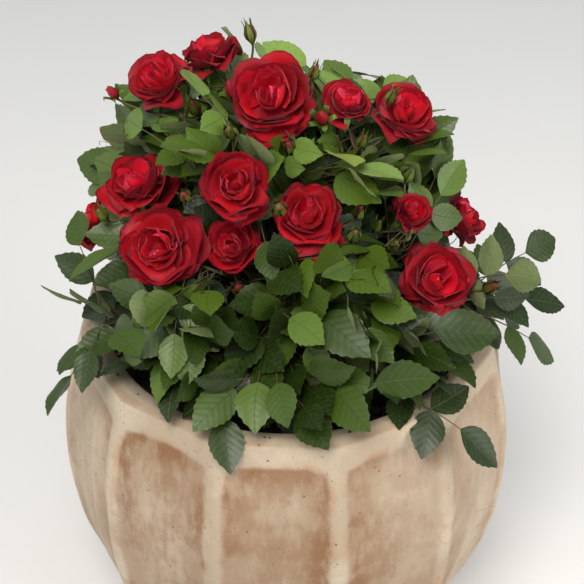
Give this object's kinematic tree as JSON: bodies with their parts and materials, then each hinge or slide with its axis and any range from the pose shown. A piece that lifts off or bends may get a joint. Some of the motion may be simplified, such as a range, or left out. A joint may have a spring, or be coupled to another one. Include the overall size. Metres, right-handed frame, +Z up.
{
  "type": "potted rose bush",
  "caption": "Bushy red garden rose, dense with leaves and full blooms, in a rounded twelve-sided limewashed terracotta pot filled with soil.",
  "frame": {"origin": "centre of the pot's flat underside", "axes": "+Z up, -Y towards the front of the plant, +X to its right seen from the front"},
  "size_m": [0.4944, 0.4635, 0.6728],
  "materials": {
    "clay": "unglazed terracotta with a worn limewash",
    "soil": "dark potting soil",
    "bark": "green to brown rose bark",
    "foliage": "semi-matt leaves",
    "bloom": "velvety dark red petals"
  },
  "bodies": {
    "root": {"bloom_01": "bloom", "bloom_02": "bloom", "bloom_03": "bloom", "bloom_04": "bloom", "bloom_05": "bloom", "bloom_06": "bloom", "bloom_07": "bloom", "bloom_08": "bloom", "bloom_09": "bloom", "bloom_10": "bloom", "bloom_11": "bloom", "bloom_12": "bloom", "bloom_13": "bloom", "bloom_14": "bloom", "bloom_15": "bloom", "bloom_16": "bloom", "bloom_17": "bloom", "bloom_18": "bloom", "bloom_19": "bloom", "cane_01": "bark", "cane_02": "bark", "cane_03": "bark", "cane_04": "bark", "cane_05": "bark", "cane_06": "bark", "cane_07": "bark", "cane_08": "bark", "cane_09": "bark", "cane_10": "bark", "cane_11": "bark", "cane_12": "bark", "cane_13": "bark", "cane_14": "bark", "cane_15": "bark", "cane_16": "bark", "cane_17": "bark", "cane_18": "bark", "cane_19": "bark", "foliage_01": "foliage", "foliage_02": "foliage", "foliage_03": "foliage", "foliage_04": "foliage", "foliage_05": "foliage", "foliage_06": "foliage", "foliage_07": "foliage", "foliage_08": "foliage", "foliage_09": "foliage", "foliage_10": "foliage", "foliage_11": "foliage", "foliage_12": "foliage", "foliage_13": "foliage", "foliage_14": "foliage", "foliage_15": "foliage", "foliage_16": "foliage", "foliage_17": "foliage", "foliage_18": "foliage", "foliage_19": "foliage", "pot": "clay", "soil": "soil", "stem": "bark"}
  },
  "joints": []
}
